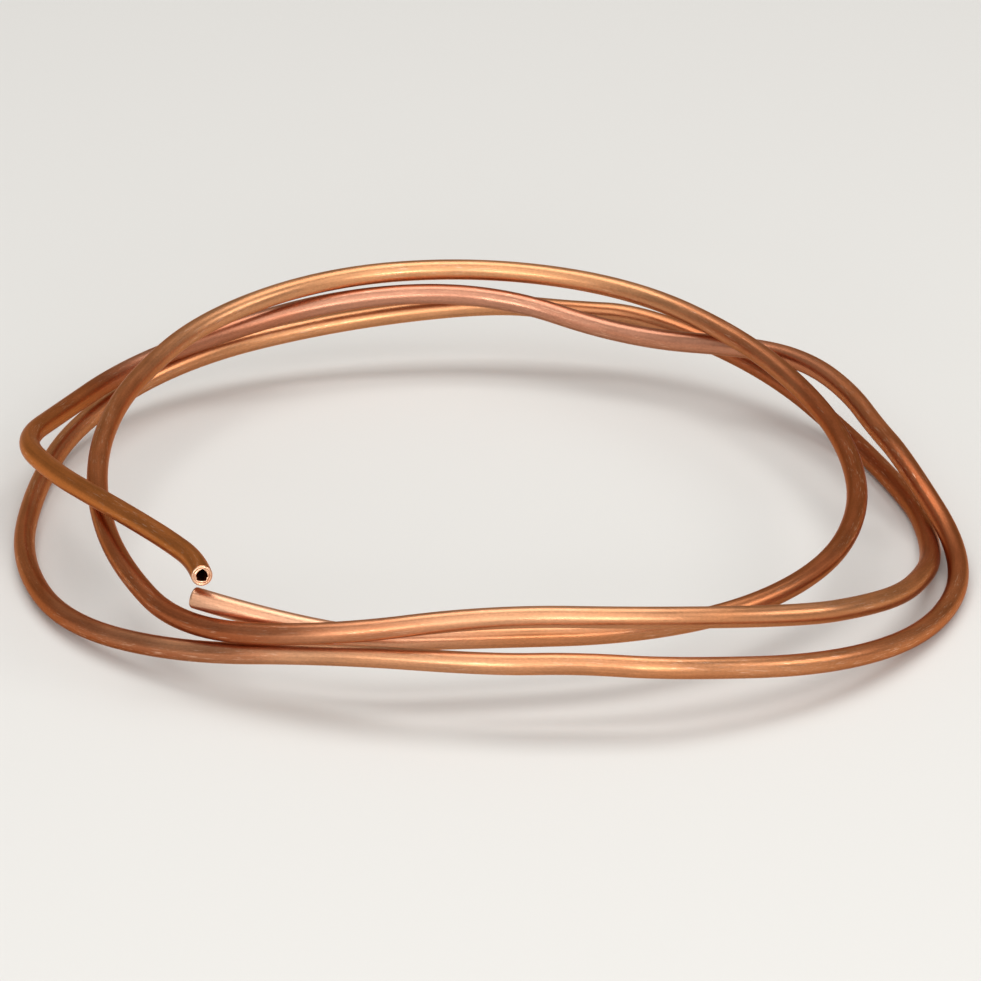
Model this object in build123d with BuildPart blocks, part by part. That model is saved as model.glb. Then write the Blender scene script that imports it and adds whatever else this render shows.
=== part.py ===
from build123d import *
import math
import os

os.makedirs("parts", exist_ok=True)

# Tube section and cut ends, in mm
TUBE_OD = 5.0
TUBE_WALL = 1.0
EDGE_BREAK = 0.2

# Mean radius of the hand-wound turns, from the coil's axis to the tube's centreline
COIL_RADIUS = 106.0

# A bend takes this share of the shorter of its two runs, so that bends nearly meet
BEND_SHARE = 0.45

# Stations of the route: winding angle in degrees, then the centreline's offset from the mean radius and
# its height over the floor, both in tube diameters. The angle starts at the left and goes round the back.
# The free arm, from the first cut end over the left side to the kink
ARM_TURN_STATIONS = [
    (-52, 0.1, 5.37),
    (-48, -1.15, 5.32),
    (-40, -2.05, 5.2),
    (-28, -2.4, 4.94),
    (-16, -1.93, 4.55),
    (-4, -0.75, 4.01),
    (10, 1.4, 3.4),
    (24, 1.15, 2.8),
    (38, 1.8, 2.6),
]

# The turns, with equal angles between stations: offset and height, both in tube diameters
FIRST_ANGLE = 50
STATION_ANGLE = 20
TURN_STATIONS = [
    # Back, right, front and left of the outer turn
    (1.6, 2.9), (0.35, 4.17), (0.05, 4.04), (-1.9, 2.85), (-1.23, 3.55), (-1.27, 3.4),
    (-1.49, 2.78), (1.24, 0.49), (2.2, 0.52), (2.7, 1.75), (2.2, 3.15), (0.8, 3.37),
    (-0.45, 2.87), (0.7, 1.65), (1.3, 0.65), (0.9, 0.5), (0.75, 0.5), (1.85, 1.05),
    # The middle turn, which rises over the outer one at the front
    (2.08, 1.9), (1.35, 2.5), (0.85, 3.2), (0.8, 3.12), (-0.16, 2.01), (-0.95, 0.49),
    (-1.03, 0.5), (-0.26, 0.58), (0.64, 1.92), (0.78, 3.5), (-0.1, 4.75), (-0.55, 5.25),
    (0.35, 4.05), (0.43, 2.7), (-1.6, 3.03), (-2.65, 3.5), (-2.65, 3.95), (-1.6, 4.1),
    # The inner turn, highest at the back, to the second cut end
    (0.1, 4.65), (0.85, 5.15), (0.65, 5.13), (-0.6, 4.95), (-2.3, 4.25), (-3.5, 3.5),
    (-4.05, 3.1), (-3.85, 2.75), (-3.4, 2.5), (-3.3, 2.4), (-3.3, 2.65), (-3.35, 2.92),
    (-1.22, 3.13), (-0.12, 4.05),
]

# More stations between these, where the hand bent the tube more sharply: angle, offset and height
EXTRA_STATIONS = [
    (140, -1.01, 3.71), (160, -1.63, 2.93), (260, 1.15, 3.41), (460, 0.65, 3.02),
    (540, -0.66, 0.5), (560, 0.16, 1.3), (580, 0.8, 2.71),
]


def winding(angle, offset, height, half_step):
    # A corner stands outside the curve that its bend follows, by the cosine of half a step
    radius = (COIL_RADIUS + offset * TUBE_OD) / math.cos(math.radians(half_step))
    bearing = math.radians(180 - angle)
    return Vector(radius * math.cos(bearing), radius * math.sin(bearing), height * TUBE_OD)


def bend_radius(before, corner, after):
    run_in = corner - before
    run_out = after - corner
    turn = math.radians(run_in.get_angle(run_out))
    return BEND_SHARE * min(run_in.length, run_out.length) / math.tan(turn / 2)


stations = ARM_TURN_STATIONS + EXTRA_STATIONS
for count, (offset, height) in enumerate(TURN_STATIONS):
    stations.append((FIRST_ANGLE + count * STATION_ANGLE, offset, height))
stations.sort()

corners = []
for i, (angle, offset, height) in enumerate(stations):
    inner = 0 < i < len(stations) - 1
    half_step = (stations[i + 1][0] - stations[i - 1][0]) / 4 if inner else 0
    corners.append(winding(angle, offset, height, half_step))

radii = [bend_radius(*corners[i - 1:i + 2]) for i in range(1, len(corners) - 1)]

# The tube: its section swept along the route, with the edges of both cut ends broken
with BuildPart() as bent_tube:
    with BuildLine() as route:
        FilletPolyline(*corners, radius=radii)
    with BuildSketch(Plane(origin=route.line @ 0, z_dir=route.line % 0)):
        Circle(TUBE_OD / 2)
        Circle(TUBE_OD / 2 - TUBE_WALL, mode=Mode.SUBTRACT)
    sweep()
    rims = []
    for end in (corners[0], corners[-1]):
        rims += [e for e in edges().filter_by(GeomType.CIRCLE) if (e.arc_center - end).length < EDGE_BREAK]
    chamfer(rims, EDGE_BREAK)

# The coil lies on the floor, with the middle of its outline over the origin
outline = bent_tube.part.bounding_box()
seat = Vector(-outline.center().X, -outline.center().Y, -outline.min.Z)
with BuildPart() as copper_tube:
    with Locations(seat):
        add(bent_tube.part)

section_area = math.pi * (TUBE_OD - TUBE_WALL) * TUBE_WALL
length = sum(edge.length for edge in route.edges())
print("length", round(length, 1), "mm, volume over section times length",
      round(copper_tube.part.volume / (section_area * length), 5))
print("bend radii", [round(r) for r in radii])
print("smallest bend radius", round(min(radii) / TUBE_OD, 1), "tube diameters")
for name, end, corner in (("arm", corners[0], corners[1]), ("inner", corners[-1], corners[-2])):
    bend = radii[0] if name == "arm" else radii[-1]
    run = end - corner
    near = corners[2] if name == "arm" else corners[-3]
    taken = bend * math.tan(math.radians((corner - near).get_angle(run)) / 2)
    print(name, "end at", tuple(end + seat), "pointing", tuple(run.normalized()),
          "straight for", round(run.length - taken - EDGE_BREAK, 3), "mm to the broken edge")

copper_tube.part.label = "copper_tube"
export_step(copper_tube.part, "parts/copper_tube.step")
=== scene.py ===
# %% [markdown]
# # A loose coil of thin copper tube
# The object is one length of soft copper tube, about two metres long and five millimetres thick.
# Somebody wound it by hand into three loose turns and cut both ends with a roller cutter. It lies
# flat on a table. The imported CAD model already has the exact route and the plain tube. This lesson
# gives that tube its drawn, slightly tarnished surface with painted light and shade along it, its
# rolled and ragged cut ends, and a soft studio around it.

import math

import bmesh
import bpy
from mathutils import Matrix, Vector


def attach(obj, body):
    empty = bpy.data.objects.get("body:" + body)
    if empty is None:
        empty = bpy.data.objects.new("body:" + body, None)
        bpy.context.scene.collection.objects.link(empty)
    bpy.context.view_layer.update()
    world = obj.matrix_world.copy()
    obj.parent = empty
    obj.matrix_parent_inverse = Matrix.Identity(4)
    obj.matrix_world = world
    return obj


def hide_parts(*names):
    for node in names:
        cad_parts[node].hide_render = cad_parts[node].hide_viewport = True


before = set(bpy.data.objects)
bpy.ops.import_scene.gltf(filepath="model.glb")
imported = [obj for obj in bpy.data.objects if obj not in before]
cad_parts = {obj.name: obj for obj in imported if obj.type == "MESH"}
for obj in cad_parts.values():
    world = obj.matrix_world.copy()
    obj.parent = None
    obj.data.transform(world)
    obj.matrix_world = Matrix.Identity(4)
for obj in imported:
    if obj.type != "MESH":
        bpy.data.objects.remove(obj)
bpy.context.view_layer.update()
MM = 0.001

# %% [markdown]
# ## The camera
# The picture was taken from far away with a long lens, so the near and far sides of the coil look
# almost the same size. A camera without perspective would come close, but it would lose the little
# that is left. The camera stands straight in front of the coil and looks down at it by 23 degrees.
# A camera object looks along its own -Z, so a camera that is turned up from straight down by 90
# degrees less that angle does this.

# %% Camera
VIEW_DOWN = math.radians(22.92)
VIEW_DISTANCE = 2150 * MM
VIEW_TARGET = Vector((0.2 * MM, 29.6 * MM, 0.0))
camera_data = bpy.data.cameras.new("studio_camera")
camera_data.sensor_width = 36.0
camera_data.lens = 329.0
camera_data.clip_end = 50.0
camera = bpy.data.objects.new("studio_camera", camera_data)
bpy.context.scene.collection.objects.link(camera)
backward = Vector((0, -math.cos(VIEW_DOWN), math.sin(VIEW_DOWN)))
camera.location = VIEW_TARGET + VIEW_DISTANCE * backward
camera.rotation_euler = (math.pi / 2 - VIEW_DOWN, 0, 0)
bpy.context.scene.camera = camera
print("camera at", [round(v, 3) for v in camera.location])

# %% [markdown]
# ## The stations of the winding
# A hand-wound coil follows no formula, so its route is a list of stations. Each one has an angle
# round the coil, how far the tube is outside the mean radius, and how high it is, the last two in
# tube diameters. A helix with noise would be shorter to write, but the turns cross each other at
# places that can be seen, and only stations put them there.

# %% Stations of the winding
TUBE_OD = 5.0 * MM
TUBE_WALL = 1.0 * MM
COIL_RADIUS = 106.0 * MM

# The free arm: angle, offset and height. The angle starts at the left and goes round the back.
ARM_TURN_STATIONS = [
    (-52, 0.1, 5.37), (-48, -1.15, 5.32), (-40, -2.05, 5.2), (-28, -2.4, 4.94), (-16, -1.93, 4.55),
    (-4, -0.75, 4.01), (10, 1.4, 3.4), (24, 1.15, 2.8), (38, 1.8, 2.6),
]
# The turns, with equal angles between stations: offset and height
FIRST_ANGLE = 50
STATION_ANGLE = 20
TURN_STATIONS = [
    # Back, right, front and left of the outer turn
    (1.6, 2.9), (0.35, 4.17), (0.05, 4.04), (-1.9, 2.85), (-1.23, 3.55), (-1.27, 3.4),
    (-1.49, 2.78), (1.24, 0.49), (2.2, 0.52), (2.7, 1.75), (2.2, 3.15), (0.8, 3.37),
    (-0.45, 2.87), (0.7, 1.65), (1.3, 0.65), (0.9, 0.5), (0.75, 0.5), (1.85, 1.05),
    # The middle turn, which rises over the outer one at the front
    (2.08, 1.9), (1.35, 2.5), (0.85, 3.2), (0.8, 3.12), (-0.16, 2.01), (-0.95, 0.49),
    (-1.03, 0.5), (-0.26, 0.58), (0.64, 1.92), (0.78, 3.5), (-0.1, 4.75), (-0.55, 5.25),
    (0.35, 4.05), (0.43, 2.7), (-1.6, 3.03), (-2.65, 3.5), (-2.65, 3.95), (-1.6, 4.1),
    # The inner turn, highest at the back, to the second cut end
    (0.1, 4.65), (0.85, 5.15), (0.65, 5.13), (-0.6, 4.95), (-2.3, 4.25), (-3.5, 3.5),
    (-4.05, 3.1), (-3.85, 2.75), (-3.4, 2.5), (-3.3, 2.4), (-3.3, 2.65), (-3.35, 2.92),
    (-1.22, 3.13), (-0.12, 4.05),
]
# More stations between these, where the hand bent the tube more sharply: angle, offset and height
EXTRA_STATIONS = [
    (140, -1.01, 3.71), (160, -1.63, 2.93), (260, 1.15, 3.41), (460, 0.65, 3.02),
    (540, -0.66, 0.5), (560, 0.16, 1.3), (580, 0.8, 2.71),
]
stations = ARM_TURN_STATIONS + EXTRA_STATIONS
stations += [(FIRST_ANGLE + STATION_ANGLE * i, offset, height)
             for i, (offset, height) in enumerate(TURN_STATIONS)]
stations.sort()
print(len(stations), "stations, winding through", stations[-1][0] - stations[0][0], "degrees")

# %% [markdown]
# ## The middle line
# A tube that is bent by hand has no sharp corners and no exact arcs, so its middle line is a NURBS
# spline with the stations as its control points. A Bezier curve would need two handles at each
# station as well. A control point stands a little outside the curve that it pulls on, so the radius
# is divided by the cosine of half the angle between neighbours. The spline must get its order after
# its points, because an order set on an empty spline falls back to straight runs.

# %% Middle line
# The CAD model is moved so that the middle of its outline is over the origin; this is that move
SEAT = Vector((0.29, 0.03, 0.03)) * MM
POINTS_PER_STATION = 13


def station_point(i):
    """The control point of station i."""
    angle, offset, height = stations[i]
    inner = 0 < i < len(stations) - 1
    half_step = (stations[i + 1][0] - stations[i - 1][0]) / 4 if inner else 0
    radius = (COIL_RADIUS + offset * TUBE_OD) / math.cos(math.radians(half_step))
    bearing = math.radians(180 - angle)
    return Vector((radius * math.cos(bearing), radius * math.sin(bearing), height * TUBE_OD)) + SEAT


route_curve = bpy.data.curves.new("tube_route", "CURVE")
route_curve.dimensions = "3D"
route_curve.resolution_u = POINTS_PER_STATION
spline = route_curve.splines.new("NURBS")
spline.points.add(len(stations) - 1)
for i, point in enumerate(spline.points):
    point.co = (*station_point(i), 1.0)
spline.order_u = 3
spline.use_endpoint_u = True
route_object = bpy.data.objects.new("tube_route", route_curve)
bpy.context.scene.collection.objects.link(route_object)
route_mesh = bpy.data.meshes.new_from_object(route_object)
path = [v.co.copy() for v in route_mesh.vertices]
bpy.data.objects.remove(route_object)
bpy.data.meshes.remove(route_mesh)

along = [0.0]
for a, b in zip(path, path[1:]):
    along.append(along[-1] + (b - a).length)
TUBE_LENGTH = along[-1]
tangents = [(path[min(i + 1, len(path) - 1)] - path[max(i - 1, 0)]).normalized()
            for i in range(len(path))]
print(len(path), "points on the middle line,", round(TUBE_LENGTH / MM, 1), "mm long")

# %% [markdown]
# ## The section of the tube
# Where a tube bends, it flattens a little: it gets narrower across the bend and wider the other
# way. So each ring of the wall has its own scale. It also needs a sideways direction to start from.
# That direction is carried along the middle line by the smallest turn that brings one tangent to
# the next, which keeps the rings from twisting.

# %% Helpers for the rings
SEGMENTS = 40
OUTER = TUBE_OD / 2
BORE = OUTER - TUBE_WALL
FLATTENING = 0.15
# A bend is measured over this many path points to each side; below the least bend the tube is straight
BEND_WINDOW = 6
LEAST_BEND = 1e-6


def flattened(i):
    """Scale of the ring at path point i: narrower across the bend, wider the other way."""
    back, on = max(i - BEND_WINDOW, 0), min(i + BEND_WINDOW, len(path) - 1)
    turn = tangents[on] - tangents[back]
    bend = turn.length / max(along[on] - along[back], MM)
    if bend < LEAST_BEND:
        return Matrix.Identity(4)
    squeeze = FLATTENING * bend * TUBE_OD
    across = turn.normalized()
    narrower = Matrix.Scale(1 - squeeze, 4, across)
    return narrower @ Matrix.Scale(1 + squeeze / 2, 4, tangents[i].cross(across))


def carried_axes():
    """One sideways direction per path point, carried along the middle line without a twist."""
    side = tangents[0].orthogonal().normalized()
    sides = [side]
    for before, after in zip(tangents, tangents[1:]):
        side = before.rotation_difference(after) @ side
        sides.append((side - side.dot(after) * after).normalized())
    return sides


sides = carried_axes()
smallest_section = min(flattened(i).determinant() for i in range(len(path)))
print("smallest section as a share of the round one:", round(smallest_section, 3))

# %% [markdown]
# ## The two cut ends
# A roller cutter presses its wheel into the turning tube. It rounds the outer edge over, leaves a
# bright band on the face, and pushes a thin lip of metal into the bore, which tears into a ragged
# edge. Each end is a short list of rings: how far the ring is from the end, its radius, and how
# ragged it is. The raggedness is a sum of a few waves round the rim, with other phases at each end.
# Noise on a plain end would need a far finer mesh, and these few rings are part of the wall itself.

# %% Rings of a cut end
# Distance back from the end and radius, in mm, then the share of the raggedness and of fresh metal
CUT_RINGS = [
    (0.62, 2.50, 0.0, 0.0),
    (0.42, 2.485, 0.0, 0.15),
    (0.24, 2.43, 0.02, 0.5),
    (0.10, 2.34, 0.05, 0.85),
    (0.03, 2.24, 0.08, 1.0),
    (0.00, 2.10, 0.10, 1.0),
    (0.05, 1.94, 0.12, 0.7),
    (0.09, 1.84, 0.2, 0.6),
    (0.02, 1.72, 0.4, 1.0),
    (-0.05, 1.58, 0.7, 1.0),
    (-0.02, 1.44, 1.0, 1.0),
    (0.10, 1.34, 1.0, 0.8),
    (0.30, 1.36, 0.8, 0.4),
    (0.60, 1.45, 0.3, 0.1),
    (1.10, 1.50, 0.0, 0.0),
]
# Waves round the torn lip: how many there are, and how deep each one is in mm
LIP_WAVES = ((1, 0.09), (2, 0.06), (3, 0.07), (5, 0.08), (8, 0.06), (11, 0.04))
LIP_PHASE_STEP = 1.7
ARM_PHASE, INNER_PHASE = 0.4, 2.1
# The lip also goes up and down along the tube
RIM_WAVES = 5
RIM_RISE = 0.06 * MM


def ragged(turn, phase):
    """How far the torn lip leaves a true circle at this place round the rim, in mm."""
    return sum(depth * math.cos(count * turn + phase * count * LIP_PHASE_STEP)
               for count, depth in LIP_WAVES)


lip_reach = max(ragged(math.radians(d), ARM_PHASE) for d in range(360))
print("lip reaches", round(lip_reach, 2), "mm from its mean circle")

# %% [markdown]
# ## The tube
# A curve with a bevel would be quicker, but it is a skin with no bore and plain ends. So the wall is
# drawn out the way that the real tube is: a ring of edges is extruded again and again, and each new
# ring is moved on along the middle line and turned with it. At the far end the ring goes round the
# rim and back through the bore, and the last gap is bridged, so the wall is one closed skin like the
# solid's. Every vertex also keeps its place on the tube as it was before it was wound.

# %% Draw out the wall
tube_mesh = bpy.data.meshes.new("copper_tube_drawn")
bm = bmesh.new()
turn_layer = bm.verts.layers.float.new("turn")
straight_layer = bm.verts.layers.float_vector.new("straight")
fresh_layer = bm.verts.layers.float.new("fresh")


def place_ring(verts, centre, i, distance, radius, rag=0.0, fresh=0.0, phase=0.0):
    """Puts a ring's vertices round a centre, square to the path at point i."""
    side = sides[i]
    up = tangents[i].cross(side)
    shape = flattened(i)
    for v in verts:
        turn = v[turn_layer]
        reach = radius + rag * ragged(turn, phase) * MM
        rise = rag * RIM_RISE * math.cos(RIM_WAVES * turn + phase)
        spoke = math.cos(turn) * side + math.sin(turn) * up
        v.co = centre + shape @ (reach * spoke) + tangents[i] * rise
        v[straight_layer] = (distance, radius * math.cos(turn), radius * math.sin(turn))
        v[fresh_layer] = fresh


def next_ring(edges):
    """Extrudes a ring of edges and returns the new ring's vertices and edges."""
    made = bmesh.ops.extrude_edge_only(bm, edges=edges)["geom"]
    return ([g for g in made if isinstance(g, bmesh.types.BMVert)],
            [g for g in made if isinstance(g, bmesh.types.BMEdge)])


def cut_rings(end, phase):
    """The rings of one cut end as place_ring arguments, from the tube's outside into its bore."""
    outward = -tangents[0] if end == 0 else tangents[-1]
    for back, radius, rag, fresh in CUT_RINGS:
        distance = back * MM if end == 0 else TUBE_LENGTH - back * MM
        yield dict(centre=path[end] - outward * back * MM, i=end, distance=distance,
                   radius=radius * MM, rag=rag, fresh=fresh, phase=phase)


# The plain rings leave this much room at both ends. Every second one is enough for the bore.
CUT_ROOM = 1.3 * MM
body = [i for i in range(len(path)) if CUT_ROOM < along[i] < TUBE_LENGTH - CUT_ROOM]
rings = list(cut_rings(0, ARM_PHASE))[::-1]
rings += [dict(centre=path[i], i=i, distance=along[i], radius=OUTER) for i in body]
rings += list(cut_rings(len(path) - 1, INNER_PHASE))
rings += [dict(centre=path[i], i=i, distance=along[i], radius=BORE) for i in body[::-2]]

bmesh.ops.create_circle(bm, cap_ends=False, radius=OUTER, segments=SEGMENTS)
for v in bm.verts:
    v[turn_layer] = math.atan2(v.co.y, v.co.x)
first_edges = list(bm.edges)
ring_verts, ring_edges = list(bm.verts), first_edges
place_ring(ring_verts, **rings[0])
for ring in rings[1:]:
    ring_verts, ring_edges = next_ring(ring_edges)
    place_ring(ring_verts, **ring)
bmesh.ops.bridge_loops(bm, edges=ring_edges + first_edges)
bmesh.ops.recalc_face_normals(bm, faces=bm.faces)
for face in bm.faces:
    face.smooth = True
bm.to_mesh(tube_mesh)
bm.free()
tube = bpy.data.objects.new("copper_tube_drawn", tube_mesh)
bpy.context.scene.collection.objects.link(tube)
print("tube:", len(rings), "rings,", len(tube_mesh.polygons) * 2, "triangles")

# %% [markdown]
# ## Helpers for materials
# A picture editor shows a colour as an sRGB code, but the sockets of a shader hold linear light, so
# one function turns the first into the second. Materials here are trees of nodes. A node needs its
# settings, its fixed inputs and its links, and one small function gives it all three.

# %% Helpers for materials


def linear(code):
    """An sRGB hex colour as the linear RGBA that Blender's sockets hold."""
    parts = [int(code[i:i + 2], 16) / 255 for i in (1, 3, 5)]
    return (*(c / 12.92 if c <= 0.04045 else ((c + 0.055) / 1.055) ** 2.4 for c in parts), 1.0)


def add_node(tree, kind, inputs=None, **settings):
    """Adds a node, sets its properties, and gives each input a value or a link from an output."""
    node = tree.nodes.new(kind)
    for name, value in settings.items():
        setattr(node, name, value)
    for name, value in (inputs or {}).items():
        if isinstance(value, bpy.types.NodeSocket):
            tree.links.new(value, node.inputs[name])
        else:
            node.inputs[name].default_value = value
    return node


def fill_ramp(node, stops):
    """Sets a colour ramp's stops: place from 0 to 1, then an RGBA colour."""
    elements = node.color_ramp.elements
    while len(elements) < len(stops):
        elements.new(1.0)
    for element, (place, colour) in zip(elements, stops):
        element.position = place
        element.color = colour


print("the middle grey #808080 is", round(linear("#808080")[0], 3), "in linear light")

# %% [markdown]
# ## Drawn copper, lightly tarnished, with painted light and shade
# The tube is bare soft copper that was drawn through a die, then annealed and handled. Drawing
# leaves fine lines along the tube. Annealing and handling leave a thin oxide that goes from ochre
# through red brown to a dull pink, and the bends have small bright scuffs. The colour along the tube
# also holds painted shade, darker on the stretches at the left and right of the coil, and painted
# light, lighter on the stretches at the back and front. All of these patterns follow the tube, so
# they are laid out on the attribute that holds each point's place on the tube as it was before it
# was wound: its distance along, and its place round the section. A pattern that is read there has no
# seam, and stretches along the tube when that axis is scaled down.

# %% Drawn copper: where each pattern is read
copper = bpy.data.materials.new("copper_drawn_tarnished_painted_light")
copper.use_nodes = True
tree = copper.node_tree
tree.nodes.clear()
straight = add_node(tree, "ShaderNodeAttribute", attribute_name="straight").outputs["Vector"]
fresh = add_node(tree, "ShaderNodeAttribute", attribute_name="fresh").outputs["Fac"]

# Length and width of a mark in mm, then the noise's detail and roughness. Die lines are finer than a
# pixel on the real tube, so they are drawn about 0.5 mm wide.
PATTERNS = {
    "die lines": (45, 0.5, 3.0, 0.6),
    "handling": (14, 2.4, 4.0, 0.55),
    "grain": (0.8, 0.5, 2.0, 0.5),
    "nicks": (3.4, 0.3, 2.0, 0.6),
    "wear": (34, 5, 2.0, 0.5),
}
pattern = {}
for name, (length, width, detail, roughness) in PATTERNS.items():
    scale = (1 / (length * MM), 1 / (width * MM), 1 / (width * MM))
    stretched = add_node(tree, "ShaderNodeVectorMath", {0: straight, 1: scale}, operation="MULTIPLY")
    noise = add_node(tree, "ShaderNodeTexNoise", {
        "Vector": stretched.outputs["Vector"], "Scale": 1.0, "Detail": detail, "Roughness": roughness})
    pattern[name] = noise.outputs["Fac"]
print("copper patterns:", ", ".join(pattern))

# %% [markdown]
# The oxide colours and the painted light and shade are one colour ramp along the tube. Its stops are
# a share of the length and a tone: one row for the arm, then the outer, middle and inner turn, each
# from the back by the right and front to the left. The ochre of the arm and the dull pink at the back
# of the outer turn are oxide. The stops on the stretches at the left and right of each turn are
# darker, as painted shade, and those at the back and front are lighter, as painted light, on top of
# the oxide's own tones. A painted picture would need a layout of the skin; a ramp needs only the
# distance. The slow noise of the wear moves the borders to and fro, so that they blur.

# %% Drawn copper: oxide colours with painted light and shade
OCHRE = "#BE7440"
RED_BROWN = "#A85E3A"
BROWN = "#B87048"
DULL_PINK = "#BC846A"
COPPER = "#C68458"
PEACH = "#CE9670"
LIGHT = "#D2966A"
CLEAN = "#E0AC8C"
# Darker stops on the left and right stretches are painted shade; lighter ones at the back and front
# are painted light
TARNISH_AND_PAINTED_LIGHT = [
    (0.00, OCHRE), (0.05, OCHRE), (0.08, RED_BROWN),
    (0.11, DULL_PINK), (0.15, DULL_PINK), (0.19, BROWN), (0.22, RED_BROWN), (0.25, BROWN),
    (0.28, COPPER), (0.33, PEACH),
    (0.37, RED_BROWN), (0.43, COPPER), (0.48, LIGHT), (0.52, RED_BROWN), (0.57, RED_BROWN),
    (0.61, COPPER), (0.65, PEACH),
    (0.69, RED_BROWN), (0.75, BROWN), (0.79, LIGHT), (0.83, LIGHT), (0.87, RED_BROWN),
    (0.91, RED_BROWN), (0.95, COPPER), (1.00, CLEAN),
]
WANDER = 0.06
distance = add_node(tree, "ShaderNodeSeparateXYZ", {"Vector": straight}).outputs["X"]
share = add_node(tree, "ShaderNodeMath", {0: distance, 1: TUBE_LENGTH}, operation="DIVIDE")
wander = add_node(tree, "ShaderNodeMath", {0: pattern["wear"], 1: WANDER, 2: -WANDER / 2},
                  operation="MULTIPLY_ADD")
place = add_node(tree, "ShaderNodeMath", {0: share.outputs["Value"], 1: wander.outputs["Value"]},
                 operation="ADD")
tarnish_and_painted_light = add_node(tree, "ShaderNodeValToRGB", {"Fac": place.outputs["Value"]})
fill_ramp(tarnish_and_painted_light, [(stop, linear(code)) for stop, code in TARNISH_AND_PAINTED_LIGHT])
print("tarnish stops:", len(TARNISH_AND_PAINTED_LIGHT))

# %% [markdown]
# The finer patterns each make the tone up to about a tenth darker or lighter. They scale the colour
# and mix in no other, so the hue of the ramp stays. Where nicks and wear come together, and on the
# cut faces, the oxide is gone and fresh metal shows.

# %% Drawn copper: colour
# Noise seldom leaves this range, so it is spread over the darkest and lightest tone of each pattern
NOISE_LOW, NOISE_HIGH = 0.3, 0.7
TONES = {"die lines": (0.89, 1.09), "handling": (0.9, 1.08), "grain": (0.92, 1.08)}
FRESH_METAL = "#E8B898"
toned = tarnish_and_painted_light.outputs["Color"]
for name, (darkest, lightest) in TONES.items():
    tone = add_node(tree, "ShaderNodeMapRange", {
        "Value": pattern[name], "From Min": NOISE_LOW, "From Max": NOISE_HIGH,
        "To Min": darkest, "To Max": lightest})
    toned = add_node(tree, "ShaderNodeVectorMath", {0: toned, "Scale": tone.outputs["Result"]},
                     operation="SCALE").outputs["Vector"]
scuffed = add_node(tree, "ShaderNodeMapRange", {
    "Value": pattern["nicks"], "From Min": 0.58, "From Max": 0.7, "To Max": 0.7})
where_worn = add_node(tree, "ShaderNodeMapRange", {
    "Value": pattern["wear"], "From Min": 0.46, "From Max": 0.6})
scuff = add_node(tree, "ShaderNodeMath", {
    0: scuffed.outputs["Result"], 1: where_worn.outputs["Result"]}, operation="MULTIPLY")
bare = add_node(tree, "ShaderNodeMath", {0: scuff.outputs["Value"], 1: fresh},
                operation="MAXIMUM", use_clamp=True).outputs["Value"]
colour = add_node(tree, "ShaderNodeMix", {"Factor": bare, "A": toned, "B": linear(FRESH_METAL)},
                  data_type="RGBA").outputs["Result"]
print("patterns in the tone:", len(TONES))

# %% [markdown]
# The surface is metal all over, and its gloss goes from the dull patches of handling to the bright
# scuffs. Clean metal turns white where it is seen edge on, but the oxide keeps its colour there, so
# the tint at the edge is a pale copper. Relief this fine would take millions of faces, so two bumps
# make it in the shading, first the die lines and then the fine grain.

# %% Drawn copper: gloss and relief
SMOOTHEST, DULLEST = 0.29, 0.41
SCUFF_POLISH = 0.08
EDGE_TINT = "#F0CDB4"
dull = add_node(tree, "ShaderNodeMapRange", {
    "Value": pattern["handling"], "From Min": NOISE_LOW, "From Max": NOISE_HIGH,
    "To Min": SMOOTHEST, "To Max": DULLEST})
gloss = add_node(tree, "ShaderNodeMath", {0: bare, 1: -SCUFF_POLISH, 2: dull.outputs["Result"]},
                 operation="MULTIPLY_ADD")
line_relief = add_node(tree, "ShaderNodeBump", {
    "Height": pattern["die lines"], "Strength": 0.35, "Distance": 0.05 * MM})
grain_relief = add_node(tree, "ShaderNodeBump", {
    "Height": pattern["grain"], "Strength": 0.45, "Distance": 0.04 * MM,
    "Normal": line_relief.outputs["Normal"]})
shader = add_node(tree, "ShaderNodeBsdfPrincipled", {
    "Base Color": colour, "Metallic": 1.0, "Roughness": gloss.outputs["Value"],
    "Specular Tint": linear(EDGE_TINT), "Normal": grain_relief.outputs["Normal"]})
add_node(tree, "ShaderNodeOutputMaterial", {"Surface": shader.outputs["BSDF"]})
tube_mesh.materials.append(copper)
print("copper nodes:", len(tree.nodes))

# %% [markdown]
# ## The floor
# The floor is a pale matt sheet. It is so wide that no edge of it comes into the picture, which saves
# a curved backdrop.

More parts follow.
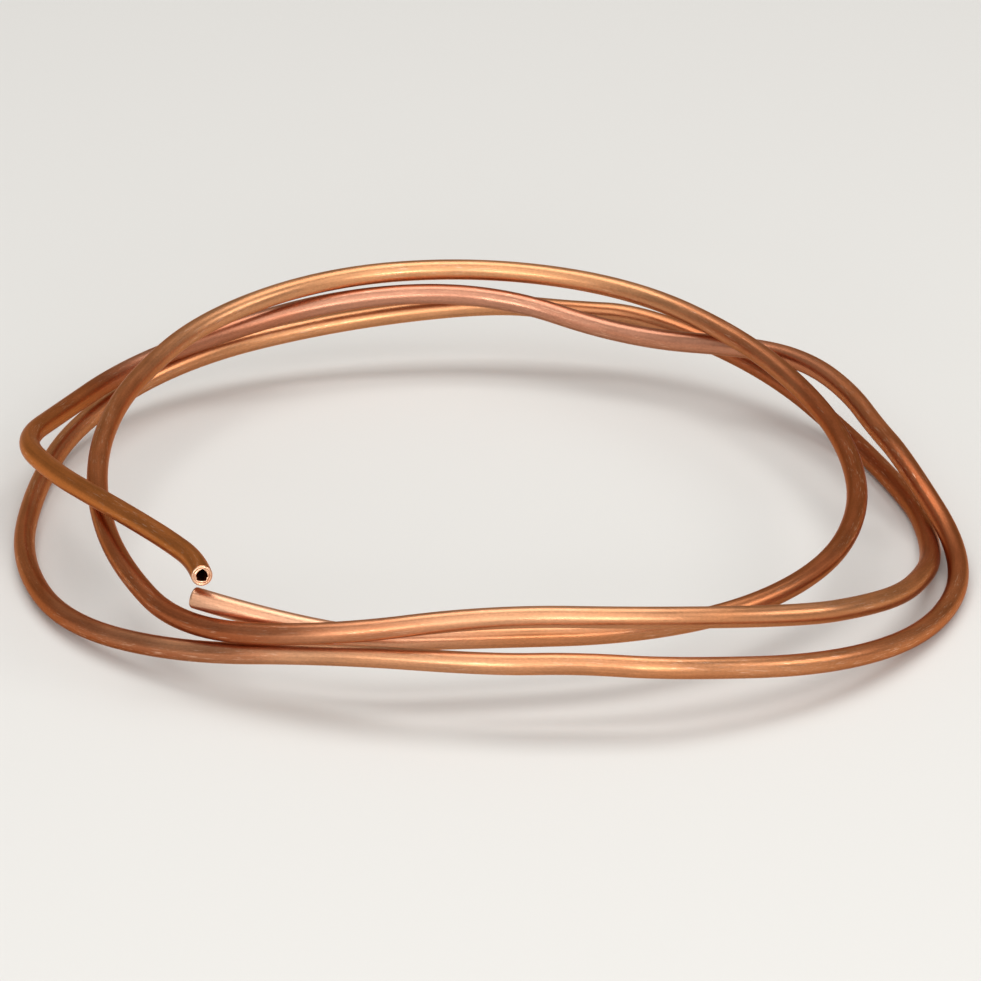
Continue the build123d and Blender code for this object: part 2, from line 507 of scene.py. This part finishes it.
# %% Floor
FLOOR_RADIUS = 6.0
FLOOR_SEGMENTS = 96
floor_mesh = bpy.data.meshes.new("studio_floor")
bm = bmesh.new()
bmesh.ops.create_circle(bm, cap_ends=True, radius=FLOOR_RADIUS, segments=FLOOR_SEGMENTS)
bm.to_mesh(floor_mesh)
bm.free()
floor = bpy.data.objects.new("studio_floor", floor_mesh)
bpy.context.scene.collection.objects.link(floor)
paper = bpy.data.materials.new("paper_matt_pale")
paper.use_nodes = True
paper.node_tree.nodes.clear()
sheet = add_node(paper.node_tree, "ShaderNodeBsdfPrincipled", {
    "Base Color": linear("#D5D3CF"), "Roughness": 0.9})
add_node(paper.node_tree, "ShaderNodeOutputMaterial", {"Surface": sheet.outputs["BSDF"]})
floor_mesh.materials.append(paper)
print("floor radius", FLOOR_RADIUS, "m")

# %% [markdown]
# ## The light
# Copper shows what stands around it, so the light comes from five soft boxes. A stretch that runs
# across the picture shows the large front panel over most of its upper half, the overhead panel as
# a thin bright line near its top edge, and a low box as a bright band just below its middle. The
# bends on the right show the box on that side. Stretches that run away from the camera show the dim
# room and the floor, so the sides of the coil stay deeper in colour; the copper's colour ramp also
# paints shade on them.

# %% Light
# Name, place, width and depth in metres, and power in watts; each box faces the origin
SOFT_BOXES = [
    ("front_panel", (0.0, -1.0, 0.95), 2.2, 1.5, 13.0),
    ("overhead_panel", (0.0, 0.35, 1.5), 1.6, 0.9, 13.0),
    ("low_left_box", (-0.6, -1.5, 0.3), 0.7, 0.4, 6.5),
    ("low_right_box", (0.6, -1.5, 0.3), 0.7, 0.4, 6.5),
    ("right_box", (1.35, -0.2, 0.75), 0.7, 0.5, 4.5),
]
for name, spot, width, depth, power in SOFT_BOXES:
    light = bpy.data.lights.new(name, "AREA")
    light.shape = "RECTANGLE"
    light.size, light.size_y = width, depth
    light.energy = power
    lamp = bpy.data.objects.new(name, light)
    bpy.context.scene.collection.objects.link(lamp)
    lamp.location = spot
    lamp.rotation_euler = (-Vector(spot)).to_track_quat("-Z", "Y").to_euler()
world = bpy.data.worlds.new("studio_room")
bpy.context.scene.world = world
world.use_nodes = True
room = world.node_tree.nodes["Background"]
room.inputs["Color"].default_value = linear("#BEBDBB")
room.inputs["Strength"].default_value = 0.7
bpy.context.scene.view_settings.view_transform = "Standard"
print(len(SOFT_BOXES), "soft boxes")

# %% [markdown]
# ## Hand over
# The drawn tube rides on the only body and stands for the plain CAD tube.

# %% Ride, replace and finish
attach(tube, "root")
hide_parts("copper_tube")
print(tube.name, "rides on root and stands for copper_tube")
